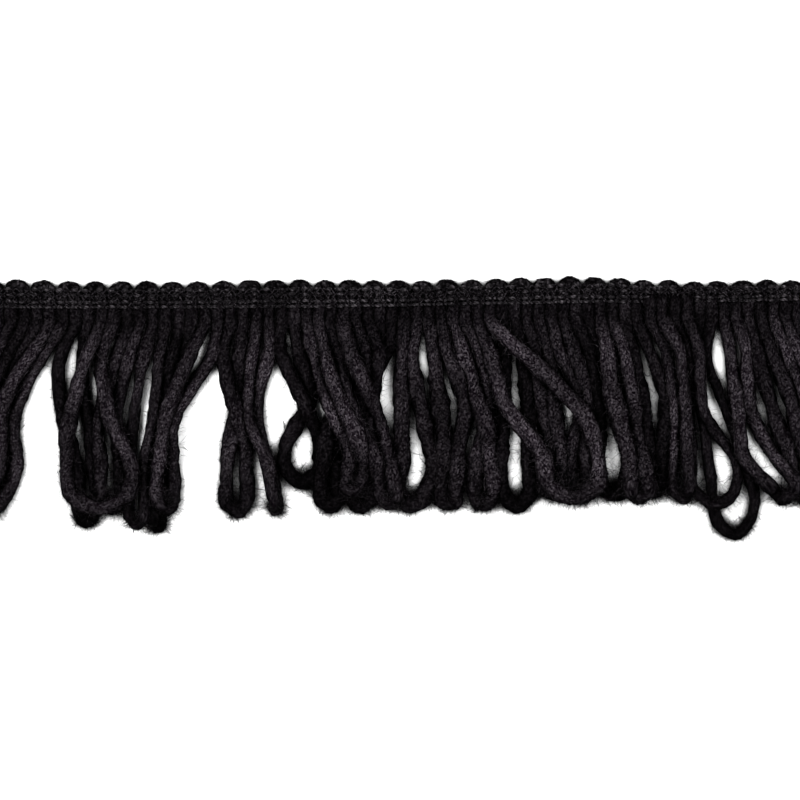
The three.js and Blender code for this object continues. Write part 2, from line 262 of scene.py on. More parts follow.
# Yarn's turn over a scallop: its half sizes, the rise of its arc, the length over which it comes up
# to the crown's height, how much higher its crest is, how far crests wander, and the waves and share
# by which its width wanders
SCALLOP_HALF_WIDTH = 1.42
SCALLOP_HALF_HEIGHT = 1.15
SCALLOP_RISE = 0.95
SCALLOP_SHOULDER = 1.2
SCALLOP_CREST = 0.05
CREST_WANDER = 0.2
SCALLOP_WAVES = 2
SCALLOP_WANDER = 0.03
ARC_POINTS = 17

# Its legs in the band: their place as a share of the scallop's width, their half height in the band
# and at the foot, the length of the foot, and how far they start below the heading's lower edge
LEG_SHARE = 0.25
BAND_HALF_HEIGHT = 0.75
FOOT_HALF_HEIGHT = 0.6
FOOT_LENGTH = 1
FOOT_REACH = 0.4
LEG_POINTS = 10

# Chain stitches: in each, thread rises in a long and a short dash half a stitch apart. Their places,
# half lengths and heights as shares of a stitch and of a full rise, and how far a rise wanders.
STITCHES_PER_SCALLOP = 2
STITCH_STEPS = 12
LONG_PLACES = (0.24, 0.46)
LONG_HALF_LENGTH = 0.25
LONG_RISES = (0.4, 1.05)
SHORT_HALF_LENGTH = 0.13
SHORT_RISES = (0, 1)
HALF_STITCH = 0.5
STITCH_WANDER = 0.18
STITCH_LOW = 1.3
STITCH_HIGH = 2.5

# Two plies of the stitching thread: their radius, thinner where the thread is low, their distance
# from its middle, how flat they lie, and their turns in a stitch
PLY_SIDES = 6
PLY_RADIUS = 0.3
PLY_LOW_SHARE = 0.6
PLY_OFFSET = 0.22
PLY_FLATNESS = 0.5
PLY_TURNS = 1.5

# Threads that cross between the rows: the share of a crossing at which they leave and reach a row,
# their heights, which grow from the row in the band to the row at the crowns, and their wander, with
# stitches in a wave and its size
ZIGZAG_RADIUS = 0.2
ZIGZAG_SIDES = 5
ZIGZAG_STEPS = 8
ZIGZAG_PHASES = (0, 0.5)
ZIGZAG_PHASE_WANDER = 0.1
ZIGZAG_CROSSING = (0.05, 0.95)
ZIGZAG_LOW = 1.4
ZIGZAG_HIGH = 1.7
ZIGZAG_CROWN_RISE = 0.9
BAND_ROW = STITCH_ROWS[1]
CROWN_ROW = STITCH_ROWS[3]
ZIGZAG_WANDERS = {
    "up": {"stitches": 3, "size": 0.25},
    "along": {"stitches": 4, "size": 0.3},
    "height": {"stitches": 2, "size": 0.1},
}

# Chance wander is a sum of waves whose speeds differ, times a share
DRIFT_WAVES = 4
DRIFT_SPEEDS = (0.5, 1.5)
DRIFT_SHARE = 0.5

# Patterns start at a chance place in this length, so that strands differ
PATTERN_LENGTH = 500

# Shortest length that a direction is taken from, a slope too slight to show that gives a direction
# where there would be none, and how far the last place on a yarn is below its count of rings
SHORTEST = 1e-9
SLIGHT = 1e-6
SHORT_OF_END = 1.001

# Painted shade: the yarn's colour is darkened by other yarn within this reach, so yarn that lies deep in the
# pile is darker
SHADE_REACH = 5
SHADE_RANGE = (0.45, 0.9)
SHADE_SAMPLES = 8

# The tone wanders along each strand, with about so many waves in a millimetre, and is seldom light
TONE_WAVES = 0.04
TONE_DETAIL = 2
TONE_RANGE = (0.36, 0.66)
TONE_SKEW = 1.6

# Grain of short bits of fibre: its share beside the lengthwise locks, how many bits there are round
# the yarn for each lock, how many along a millimetre, and the range of values from dark to light
GRAIN_SHARE = 0.72
GRAIN_ROUND = 1.2
GRAIN_WAVES = 2.6
GRAIN_RANGE = (0.2, 0.86)
LOCK_DETAIL = 4
STREAK_ROUGHNESS = 0.65
RELIEF_HEIGHT = 0.4

# Painted shade towards a strand's sides: how far it faces up, from painted shade to full colour
PAINTED_SIDE_SHADE_RANGE = (0.3, 1)

# Painted light and shade: a loop's colour is lighter the higher its layer is, and darker at its root and
# in its turned end, where yarn is packed close
PAINTED_LAYER_LIGHTS = [0.3, 0.68, 1.2, 1.5]
PAINTED_ROOT_LIGHT = 0.41
ROOT_LIGHT_LENGTH = 14
PAINTED_END_LIGHT = 0.5
END_LIGHT_LENGTH = 16

# Factors on the heading's colour: darker on its crowns than in the band below them, and on crossing threads
CROWN_COLOUR_FACTOR = 0.52
BAND_COLOUR_FACTOR = 1.8
CROSSING_COLOUR_FACTOR = 1.2

# Finishes of yarn, fibres and thread: colours of dark and light bits, roughness and gloss, locks round
# the yarn and along a millimetre, relief, the ranges of tone along a strand and of painted shade deep in
# the pile, the share of colour kept on its sides under painted shade, and how strongly its bits tend to the
# dark colour
FINISHES = {
    "black_yarn": {
        "dark": (0.001, 0.0005, 0.001), "light": (0.0345, 0.0298, 0.0342),
        "roughness": 0.7, "gloss": 0.004, "locks_round": 30, "locks_along": 0.9, "relief": 0.7,
        "tones": (0.55, 1.5), "painted_depth_shades": (0.02, 1.2), "sides": 0.2, "skew": 2.2,
    },
    "black_fibre": {
        "dark": (0.0015, 0.0012, 0.0015), "light": (0.054, 0.047, 0.053),
        "roughness": 0.45, "gloss": 0.015, "locks_round": 2, "locks_along": 0.3, "relief": 0.1,
        "tones": (0.55, 1.5), "painted_depth_shades": (0.35, 1.2), "sides": 1, "skew": 2.2,
    },
    "black_crown": {
        "dark": (0.0004, 0.0002, 0.0004), "light": (0.085, 0.0755, 0.0845),
        "roughness": 0.7, "gloss": 0.004, "locks_round": 13, "locks_along": 1.5, "relief": 1,
        "tones": (0.7, 1.2), "painted_depth_shades": (0.35, 1.1), "sides": 0.4, "skew": 4,
    },
    "black_crown_fibre": {
        "dark": (0.001, 0.0008, 0.001), "light": (0.056, 0.0495, 0.055),
        "roughness": 0.5, "gloss": 0.015, "locks_round": 2, "locks_along": 0.3, "relief": 0.1,
        "tones": (0.7, 1.2), "painted_depth_shades": (0.5, 1.1), "sides": 1, "skew": 2.2,
    },
    "black_thread": {
        "dark": (0.003, 0.0024, 0.003), "light": (0.07, 0.0628, 0.069),
        "roughness": 0.4, "gloss": 0.03, "locks_round": 3, "locks_along": 1.5, "relief": 0.3,
        "tones": (0.6, 1.3), "painted_depth_shades": (0.15, 1.1), "sides": 0.8, "skew": 2.2,
    },
}

# White table: its size in metres, and the reach and range of the trim's shadow painted on it, with its tones
TABLE_SIZE = 6
TABLE_ROUGHNESS = 0.7
TABLE_GLOSS = 0.1
TABLE_SHADE_REACH = 3
TABLE_SHADE_RANGE = (0.42, 0.74)
TABLE_PAINTED_SHADOW_TONES = (0.04, 0.9)

# Light of the surroundings, and soft lamps, with places and size in metres and power in watts
SKY_STRENGTH = 0.16
LAMP_SIZE = 0.9
LAMPS = [
    {"name": "left_lamp", "place": (-0.75, 0.2, 1.2), "power": 38},
    {"name": "right_lamp", "place": (0.75, 0.1, 1.2), "power": 26},
]

# View: the photograph shows this much of the trim, round this spot
VIEW_WIDTH = 200
VIEW_CENTRE = (-0.75, -26.4)
LENS = 200
SENSOR = 36


def smooth_share(value, low, high):
    """Eased share of the way from low to high, from 0 to 1."""
    share = np.clip((value - low) / (high - low), 0, 1)
    return share * share * (3 - 2 * share)


def edge_line(name, along):
    """Height of one of the heading's edge lines at places along it."""
    along = np.asarray(along, dtype=float)
    value = np.full_like(along, EDGE_LINES[0][name])
    for before, after in zip(EDGE_LINES, EDGE_LINES[1:]):
        value += (after[name] - before[name]) * smooth_share(along, before["along"], after["along"])
    return value


def dip_places():
    """Places of the dips between scallops, from one cut end of the heading to the other."""
    length = sum(stretch["scallops"] * stretch["pitch"] for stretch in STRETCHES)
    dips = [-length / 2]
    for stretch in STRETCHES:
        for _ in range(stretch["scallops"]):
            dips.append(dips[-1] + stretch["pitch"])
    return dips


def smooth_route(corners, steps_per_span):
    """Points of a smooth curve through the corners, with the given steps in each span."""
    padded = np.vstack([2 * corners[0] - corners[1], corners, 2 * corners[-1] - corners[-2]])
    route = [corners[0]]
    for span, steps in enumerate(steps_per_span):
        before, start, finish, after = padded[span:span + 4]
        first, middle, last = [
            math.sqrt(np.linalg.norm(b - a))
            for a, b in ((before, start), (start, finish), (finish, after))
        ]
        leave = (start - before) / first - (finish - before) / (first + middle) + (finish - start) / middle
        arrive = (finish - start) / middle - (after - start) / (middle + last) + (after - finish) / last
        leave *= middle
        arrive *= middle
        for step in range(1, steps + 1):
            share = step / steps
            route.append(
                start
                + leave * share
                + (3 * (finish - start) - 2 * leave - arrive) * share ** 2
                + (2 * (start - finish) + leave + arrive) * share ** 3
            )
    return np.array(route)


def loop_corners(dip, loop):
    """Corner points of a loop's route seen from above, from the left root round its end to the right."""
    top = float(edge_line("low", dip))
    root = top - STRIP_GAP - STRIP_WIDTH / 2
    stub = top - STRIP_GAP - STRIP_WIDTH - STUB
    end = top - loop["drop"]
    widest = END_WIDTH * abs(loop["low_gap"]) / 2
    turn = widest if abs(loop["low_gap"]) < EDGE_ON_GAP else max(widest, EYE)
    room = (1 - LOW_LEVEL) * loop["drop"]
    rise = min(SHOULDER_RISE * max(turn, EYE), SHOULDER_LIMIT * room)

    def leg(side):
        corners = [(dip + side * LEG_OFFSET, root, 0), (dip + side * LEG_OFFSET, stub, 0)]
        for level, share in (("high", HIGH_LEVEL), ("mid", MID_LEVEL), ("low", LOW_LEVEL)):
            across = dip + loop[level + "_sway"] + side * loop[level + "_gap"] / 2
            corners.append((across, top - share * loop["drop"], 0))
        corners.append((dip + loop["tip_sway"] + side * turn * np.sign(loop["low_gap"]), end + rise, 0))
        return corners

    return np.array(leg(-1) + [(dip + loop["tip_sway"], end, 0)] + leg(1)[::-1], dtype=float)


def rests_over(stations, first, last, starts, finishes):
    """Spots between two stations of a strand where it lies on other steps, and how high."""
    rests = []
    if not len(starts):
        return rests
    run = finishes - starts
    run_square = (run[:, :2] ** 2).sum(axis=1)
    for index in range(first, last):
        for sample in range(SAMPLES_PER_STEP):
            share = sample / SAMPLES_PER_STEP
            spot = stations[index] * (1 - share) + stations[index + 1] * share
            forward = ((spot - starts)[:, :2] * run[:, :2]).sum(axis=1) / run_square
            nearest = starts + run * np.clip(forward, 0, 1)[:, None]
            distance = np.hypot(nearest[:, 0] - spot[0], nearest[:, 1] - spot[1])
            heights = nearest[:, 2] + CROSSING_RISE * (1 - distance / SIDE_BY_SIDE)
            height = np.where(distance < SIDE_BY_SIDE, heights, FLOOR_HEIGHT).max()
            if height > FLOOR_HEIGHT:
                rests.append((index, share, height))
    return rests


def lift_onto(heights, rests):
    """Lifts the stations beside each rest just enough for the strand to clear it."""
    for index, share, height in rests:
        shortfall = height - heights[index] * (1 - share) - heights[index + 1] * share
        if shortfall > 0:
            spread = (1 - share) ** 2 + share ** 2
            heights[index] += shortfall * (1 - share) / spread
            heights[index + 1] += shortfall * share / spread


def settle(stations, first, last, rests):
    """Lets the stations from first to last down onto their rests, with the strand sagging between."""
    heights = stations[:, 2].tolist()
    runs = np.hypot(*np.diff(stations[:, :2], axis=0).T).tolist()
    for _ in range(SETTLE_ROUNDS):
        for index in range(first, last + 1):
            back = runs[index - 1]
            forth = runs[index]
            slope = (heights[index + 1] - heights[index - 1]) / (back + forth)
            held = heights[index - 1] + slope * back
            heights[index] = max(FLOOR_HEIGHT, held - SAG * back * forth)
        lift_onto(heights, rests)
    for _ in range(LIFT_ROUNDS):
        lift_onto(heights, rests)
    stations[:, 2] = heights


def lay_loop(stations, starts, finishes):
    """Lays one loop over those already there, then its higher leg over its lower one."""
    stations[:, 2] = FLOOR_HEIGHT
    last_free = len(stations) - 1 - FIRST_FREE
    settle(stations, FIRST_FREE, last_free, rests_over(stations, FIRST_FREE, last_free, starts, finishes))

    tip = (len(stations) - 1) // 2
    if stations[tip:, 2].sum() > stations[:tip + 1, 2].sum():
        stations[:] = stations[::-1].copy()
    upper = tip - SPAN_STEPS[-1]
    lower = tip + SPAN_STEPS[-1]
    apart = math.dist(stations[upper, :2], stations[lower, :2])
    rise = math.sqrt(max((2 * EYE) ** 2 - apart ** 2, 0))
    rests = rests_over(stations, FIRST_FREE, lower, starts, finishes)
    rests += rests_over(stations, FIRST_FREE, upper, stations[lower:-1].copy(), stations[lower + 1:].copy())
    rests.append((upper, 0, stations[lower, 2] + rise))
    settle(stations, FIRST_FREE, lower - 1, rests)


def laid_loops(dips):
    """Stations of every loop, laid layer by layer."""
    spans = SPAN_STEPS + SPAN_STEPS[::-1]
    strands = [smooth_route(loop_corners(dips[place + 1], loop), spans) for place, loop in enumerate(LOOPS)]
    starts = np.zeros((0, 3))
    finishes = np.zeros((0, 3))
    for place in sorted(range(len(LOOPS)), key=lambda index: LOOPS[index]["layer"]):
        lay_loop(strands[place], starts, finishes)
        starts = np.vstack([starts, strands[place][:-1]])
        finishes = np.vstack([finishes, strands[place][1:]])
    return strands


def unit(vectors):
    """Vectors along the last axis, made one long."""
    return vectors / np.maximum(np.linalg.norm(vectors, axis=-1, keepdims=True), SHORTEST)


def level_frames(routes):
    """Sideways and upward directions along routes, with the sideways one level."""
    tangents = unit(np.gradient(routes, axis=-2))
    slopes = np.full(tangents.shape[:-1], SLIGHT)
    sideways = unit(np.stack([-tangents[..., 1], tangents[..., 0], slopes], axis=-1))
    return sideways, unit(np.cross(tangents, sideways))


def lengths_along(routes):
    """Length of each route up to each of its points."""
    lengths = np.linalg.norm(np.diff(routes, axis=1), axis=-1).cumsum(axis=1)
    return np.concatenate([np.zeros((len(routes), 1)), lengths], axis=1)


def drift(count, rings, waves, size):
    """Smooth chance wander along each of several routes, with about so many waves."""
    places = np.linspace(0, 1, rings)[None, :, None]
    speeds = chance.uniform(*DRIFT_SPEEDS, (count, 1, DRIFT_WAVES)) * waves * 2 * math.pi
    phases = chance.uniform(0, 2 * math.pi, (count, 1, DRIFT_WAVES))
    return size * DRIFT_SHARE * np.sin(places * speeds + phases).sum(axis=-1)


def round_rings(routes, radii, sides, turn=0):
    """Rings of points round routes, with a radius at each point of a route."""
    sideways, upward = level_frames(routes)
    angles = np.arange(sides) * 2 * math.pi / sides + turn
    return routes[:, :, None, :] + radii[:, :, None, None] * (
        sideways[:, :, None, :] * np.cos(angles)[None, None, :, None]
        + upward[:, :, None, :] * np.sin(angles)[None, None, :, None]
    )


def above_table(rings):
    """Rings with no point lower than just above the table."""
    rings[..., 2] = np.maximum(rings[..., 2], TABLE_CLEARANCE / 2)
    return rings


def thin_tubes(routes, radii):
    """Rings of fibres along routes, with a radius at each point."""
    return above_table(round_rings(routes, radii, FIBRE_SIDES, FIBRE_TURN))


def pointed(count, steps, radius):
    """Radii of fibres that taper to a point at both ends."""
    shape = np.sqrt(np.sin(np.linspace(*FIBRE_TAPER, steps) * math.pi))
    return radius * chance.uniform(*FIBRE_THICKNESSES, (count, 1)) * shape[None, :]


class Tubes:
    """Closed tubes of one piece, gathered as arrays of points and faces with lengthwise coordinates."""

    def __init__(self):
        self.points = []
        self.faces = []
        self.places = []
        self.strand_places = []
        self.count = 0

    def add(self, rings, strands):
        """Adds tubes from rings of points, shaped (tubes, rings, sides, 3), and the rings' strand places."""
        tubes, steps, sides, _ = rings.shape
        index = np.arange(tubes * steps * sides).reshape(tubes, steps, sides) + self.count
        following = np.roll(index, -1, axis=2)
        walls = np.stack([index[:, :-1], following[:, :-1], following[:, 1:], index[:, 1:]], axis=-1)
        lengths = lengths_along(rings.mean(axis=2))
        lengths += chance.uniform(0, PATTERN_LENGTH, (tubes, 1))
        round_low = np.broadcast_to(np.arange(sides) / sides, (tubes, steps - 1, sides))
        round_high = round_low + 1 / sides
        rounds = np.stack([round_low, round_high, round_high, round_low], axis=-1)
        low = np.broadcast_to(lengths[:, :-1, None], round_low.shape)
        high = np.broadcast_to(lengths[:, 1:, None], round_low.shape)
        along = np.stack([low, low, high, high], axis=-1)
        self.places.append(np.stack([rounds, along], axis=-1).reshape(-1, 2))
        low = np.broadcast_to(strands[:, :-1, None], (*round_low.shape, 2))
        high = np.broadcast_to(strands[:, 1:, None], (*round_low.shape, 2))
        self.strand_places.append(np.stack([low, low, high, high], axis=-2).reshape(-1, 2))
        self.faces.append(walls.reshape(-1, 4))
        for caps in (index[:, 0, ::-1], index[:, -1]):
            self.faces.append(caps.reshape(-1, sides))
            self.places.append(np.zeros((caps.size, 2)))
            self.strand_places.append(np.zeros((caps.size, 2)))
        self.points.append(rings.reshape(-1, 3))
        self.count += tubes * steps * sides

    def piece(self, name, node, slot, material):
        """Makes the piece, which stands for a CAD node."""
        mesh = bpy.data.meshes.new(name)
        points = np.concatenate(self.points) * MM
        corners = np.concatenate([faces.ravel() for faces in self.faces])
        sizes = np.concatenate([np.full(len(faces), faces.shape[1]) for faces in self.faces])
        mesh.vertices.add(len(points))
        mesh.vertices.foreach_set("co", points.ravel())
        mesh.loops.add(len(corners))
        mesh.loops.foreach_set("vertex_index", corners.astype(np.int32))
        mesh.polygons.add(len(sizes))
        mesh.polygons.foreach_set("loop_start", np.concatenate([[0], sizes.cumsum()[:-1]]).astype(np.int32))
        for layer_name, places in (("along_yarn", self.places), ("along_strand", self.strand_places)):
            layer = mesh.uv_layers.new(name=layer_name)
            layer.uv.foreach_set("vector", np.concatenate(places).ravel())
        mesh.update(calc_edges=True)
        mesh.polygons.foreach_set("use_smooth", np.ones(len(sizes), dtype=bool))
        mesh.materials.append(material)
        piece = bpy.data.objects.new(name, mesh)
        bpy.context.collection.objects.link(piece)
        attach(piece, "root")
        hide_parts(node)


class Yarn:
    """Yarns along like routes: their middles, half sizes and frames, with ridges of fibre locks."""

    def __init__(self, routes, half_widths, half_heights, lights):
        self.routes = routes
        self.half_widths = half_widths
        self.half_heights = half_heights
        self.sideways, self.upward = level_frames(routes)
        self.lengths = lengths_along(routes)
        self.last_place = routes.shape[1] - SHORT_OF_END
        starts = chance.uniform(0, PATTERN_LENGTH, (len(routes), 1))
        self.places = np.stack([lights, self.lengths + starts], axis=-1)

    def between(self, values, yarns, places):
        """Values at places along the yarns, from those at the rings on either side."""
        low = np.clip(np.floor(places).astype(int), 0, self.routes.shape[1] - 2)
        part = (places - low)[..., None]
        return values[yarns, low] * (1 - part) + values[yarns, low + 1] * part

    def strand_places(self, yarns, places):
        """Colour factor and length at places along the yarns, each counted from a chance start."""
        return self.between(self.places, yarns, places)

    def surface(self, yarns, places, angles, share):
        """Points at places along the yarns, round them by angles, at a share of their half sizes."""
        width = self.between(self.half_widths[..., None], yarns, places) * share[..., None]
        height = self.between(self.half_heights[..., None], yarns, places) * share[..., None]
        return (
            self.between(self.routes, yarns, places)
            + self.between(self.sideways, yarns, places) * width * np.cos(angles)[..., None]
            + self.between(self.upward, yarns, places) * height * np.sin(angles)[..., None]
        )

    def rings(self, sides):
        """Rings of points of the yarns' bodies, with long ridges that follow the twist."""
        count, steps, _ = self.routes.shape
        angles = -math.pi / 2 + np.arange(sides) * 2 * math.pi / sides
        turn = self.lengths * 2 * math.pi / TWIST_LENGTH
        skin = np.ones((count, steps, sides))
        for ridge in RIDGES:
            wander = drift(count, steps, RIDGE_WAVES, RIDGE_WANDER)
            phase = ridge["round"] * turn + wander + chance.uniform(*RIDGE_STARTS, (count, 1))
            skin += ridge["size"] * np.cos(ridge["round"] * angles[None, None, :] - phase[:, :, None])
        skin += chance.normal(0, ROUGH_SKIN, skin.shape)
        yarns = np.broadcast_to(np.arange(count)[:, None, None], skin.shape)
        places = np.broadcast_to(np.arange(steps)[None, :, None], skin.shape).astype(float)
        rings = self.surface(yarns, places, np.broadcast_to(angles, skin.shape), skin)
        return above_table(rings), self.places

    def lying_fibres(self, each, lengths, radius, slant, steps):
        """Rings of fibres that lie along or aslant the yarns' surface and lift a little at their ends."""
        count = len(self.routes) * each
        spans = self.routes.shape[1] - 1
        spacing = self.lengths[:, -1].mean() / spans
        run = chance.uniform(*lengths, (count, 1)) / spacing
        start = chance.uniform(*LYING_STARTS, (count, 1)) * spans - run * LYING_BEFORE
        share = np.linspace(0, 1, steps)[None, :]
        places = np.clip(start + run * share, 0, self.last_place)
        angles = chance.uniform(0, 2 * math.pi, (count, 1)) + drift(count, steps, LYING_WAVES, LYING_WANDER)
        angles = angles + run * share * spacing * 2 * math.pi / TWIST_LENGTH
        angles = angles + chance.normal(0, slant, (count, 1)) * share
        lift = 1 + chance.uniform(0, LYING_LIFT, (count, 1)) + drift(count, steps, RIPPLE_WAVES, RIPPLE_LIFT)
        lift = lift + chance.uniform(0, END_LIFT, (count, 1)) * np.abs(2 * share - 1) ** END_LIFT_POWER
        yarns = np.repeat(np.arange(len(self.routes)), each)[:, None]
        yarns = np.broadcast_to(yarns, places.shape)
        routes = self.surface(yarns, places, angles, lift)
        return thin_tubes(routes, pointed(count, steps, radius)), self.strand_places(yarns, places)

    def loose_fibres(self, each, lengths, radius, curl, steps):
        """Rings of stray fibres that curl away from the yarns."""
        count = len(self.routes) * each
        yarns = np.repeat(np.arange(len(self.routes)), each)
        anywhere = chance.uniform(0, 1, count)
        at_end = np.clip(chance.normal(FUZZ_END, FUZZ_END_SPREAD, count), 0, 1)
        places = np.where(chance.uniform(0, 1, count) < FUZZ_END_SHARE, at_end, anywhere) * self.last_place
        angles = chance.choice([0, math.pi], count) + chance.normal(0, FUZZ_SPREAD, count)
        skin = np.full(count, FUZZ_ROOT)
        inner = self.surface(yarns, places, angles, skin)
        outer = self.surface(yarns, places, angles, skin + 1)
        ahead = self.surface(yarns, np.clip(places + 1, 0, self.last_place), angles, skin)
        away = unit(outer - inner)
        along = unit(ahead - inner + SLIGHT) * chance.choice([-1, 1], count)[:, None]
        away = away * chance.uniform(*FUZZ_AWAY, (count, 1))
        along = along * chance.uniform(*FUZZ_ALONG, (count, 1))
        aim = unit(away + along)
        bend = unit(chance.normal(0, 1, (count, 3)) * np.array(FUZZ_BEND_AXES))
        length = chance.uniform(0, 1, (count, 1)) ** 2 * (lengths[1] - lengths[0]) + lengths[0]
        share = np.linspace(0, 1, steps)[None, :, None]
        wave = drift(count, steps, FUZZ_CURL_WAVES, curl)[:, :, None]
        routes = (
            inner[:, None, :]
            + (aim * length)[:, None, :] * share
            + (bend * length * chance.uniform(*FUZZ_BENDS, (count, 1)))[:, None, :] * share ** 2
            + (np.roll(bend, 1, axis=1) * length)[:, None, :] * wave * share
        )
        routes[..., 2] = np.maximum(routes[..., 2], TABLE_CLEARANCE)
        taper = np.linspace(1, FUZZ_TIP, steps)[None, :] * chance.uniform(*FIBRE_THICKNESSES, (count, 1))
        strands = np.repeat(self.strand_places(yarns, places)[:, None], steps, axis=1)
        return thin_tubes(routes, radius * taper), strands


def loop_yarn(dips):
    """Yarn of all the loops, from inside the heading round their ends and back."""
    routes = []
    for stations in laid_loops(dips):
        head = stations[0] + (0, HEADING_REACH, 0)
        tail = stations[-1] + (0, HEADING_REACH, 0)
        corners = np.vstack([head, stations, tail])
        routes.append(smooth_route(corners, [STEPS_PER_STATION] * (len(corners) - 1)))
    routes = np.array(routes)
    count, steps, _ = routes.shape
    lengths = lengths_along(routes)
    from_root = np.minimum(lengths, lengths[:, -1:] - lengths)
    from_end = np.abs(lengths - lengths[:, -1:] / 2)
    free = smooth_share(from_root, HEADING_REACH, HEADING_REACH + BLOOM_LENGTH)
    beside = (np.array(dips[1:-1]) - BULGE_PLACE) / BULGE_HALF_WIDTH
    bulge = np.exp(-beside ** BULGE_POWER)[:, None] * BULGE_RISE
    routes[..., 2] += YARN_LIFT * free - ROOT_SINK * (1 - free)
    routes[..., 2] += bulge * smooth_share(from_root, *BULGE_UP) * (1 - smooth_share(from_root, *BULGE_DOWN))
    routes[..., 0] += free * drift(count, steps, ROUTE_WAVES, ALONG_WANDER)
    routes[..., 1] += free * drift(count, steps, ROUTE_WAVES, ACROSS_WANDER)
    bloomed = np.array([loop["half_width"] for loop in LOOPS])[:, None]
    half_widths = ROOT_HALF_WIDTH + (bloomed - ROOT_HALF_WIDTH) * free
    half_widths *= 1 + drift(count, steps, BLOOM_WAVES, BLOOM_WANDER)
    half_heights = half_widths * (ROOT_FLATNESS + (FLATNESS - ROOT_FLATNESS) * free)
    # Painted light and shade: higher layers lighter, roots and turned ends darker
    layer_painted_lights = np.array([PAINTED_LAYER_LIGHTS[loop["layer"]] for loop in LOOPS])[:, None]
    lights = PAINTED_ROOT_LIGHT + (layer_painted_lights - PAINTED_ROOT_LIGHT) * smooth_share(from_root, HEADING_REACH, ROOT_LIGHT_LENGTH)
    lights *= PAINTED_END_LIGHT + (1 - PAINTED_END_LIGHT) * smooth_share(from_end, 0, END_LIGHT_LENGTH)
    return Yarn(routes, half_widths, half_heights, lights)


def scallop_yarn(dips):
    """Yarn that comes up through the heading and turns over each scallop."""
    routes = []
    crowns = []
    for left, right in zip(dips, dips[1:]):
        middle = (left + right) / 2
        offset = (right - left) * LEG_SHARE
        low = float(edge_line("low", middle))
        high = float(edge_line("high", middle)) + chance.uniform(-CREST_WANDER, CREST_WANDER)
        shoulder = high - SCALLOP_HALF_WIDTH - SCALLOP_RISE
        turn = np.linspace(math.pi, 0, ARC_POINTS)
        arc = np.column_stack([
            middle + offset * np.cos(turn),
            shoulder + SCALLOP_RISE * np.sin(turn),
            SCALLOP_HALF_HEIGHT + SCALLOP_CREST * np.sin(turn),
        ])
        up = np.linspace(low - FOOT_REACH, shoulder, LEG_POINTS)[:-1]
        crown = smooth_share(up, shoulder - SCALLOP_SHOULDER, shoulder)
        band = smooth_share(up, low, low + FOOT_LENGTH)
        level = FOOT_HALF_HEIGHT + (BAND_HALF_HEIGHT - FOOT_HALF_HEIGHT) * band
        level += (SCALLOP_HALF_HEIGHT - BAND_HALF_HEIGHT) * crown
        rise = np.column_stack([np.full(len(up), middle - offset), up, level])
        fall = np.column_stack([np.full(len(up), middle + offset), up, level])[::-1]
        routes.append(np.vstack([rise, arc, fall]))
        crowns.append(np.concatenate([crown, np.ones(len(arc)), crown[::-1]]))
    routes = np.array(routes)
    wander = drift(*routes.shape[:2], SCALLOP_WAVES, SCALLOP_WANDER)
    half_widths = SCALLOP_HALF_WIDTH * (1 + wander)
    lights = BAND_COLOUR_FACTOR + (CROWN_COLOUR_FACTOR - BAND_COLOUR_FACTOR) * np.array(crowns)
    return Yarn(routes, half_widths, routes[..., 2].copy(), lights)


def dash(places, middle, half_length):
    """Rounded rise from 0 to 1 and back, within half a length on either side of its middle."""
    return np.sqrt(np.maximum(1 - ((places - middle) / half_length) ** 2, 0))


def stitch_rings(dips, row):
    """Rings of the two plies of one row of stitches: a long and a short rise of thread in each."""
    stitches = (len(dips) - 1) * STITCHES_PER_SCALLOP
    count = np.linspace(0, stitches, stitches * STITCH_STEPS + 1)
    place = count % 1
    stitch = np.minimum(count.astype(int), stitches - 1)
    along = np.interp(count / STITCHES_PER_SCALLOP, np.arange(len(dips)), dips)
    low = edge_line("low", along)
    up = low + row["share"] * (edge_line("high", along) - low)
    middle = chance.uniform(*LONG_PLACES, stitches)[stitch]
    long_rise = chance.uniform(*LONG_RISES, stitches)[stitch] * dash(place, middle, LONG_HALF_LENGTH)
    short_rise = chance.uniform(*SHORT_RISES, stitches)[stitch]
    short_rise = short_rise * dash(place, middle + HALF_STITCH, SHORT_HALF_LENGTH)
    rise = np.maximum(row["long"] * long_rise, row["short"] * short_rise)
    up = up + chance.uniform(-STITCH_WANDER, STITCH_WANDER, stitches)[stitch] * rise
    height = STITCH_LOW + (STITCH_HIGH - STITCH_LOW) * rise
    turn = count * PLY_TURNS * 2 * math.pi
    routes = np.array([
        np.column_stack([
            along,
            up + side * PLY_OFFSET * np.cos(turn),
            height + side * PLY_FLATNESS * PLY_OFFSET * np.sin(turn),
        ])
        for side in (-1, 1)
    ])
    radii = PLY_RADIUS * (PLY_LOW_SHARE + (1 - PLY_LOW_SHARE) * rise)
    places = np.column_stack([np.ones(len(along)), along])
    return round_rings(routes, radii[None], PLY_SIDES), np.stack([places, places])


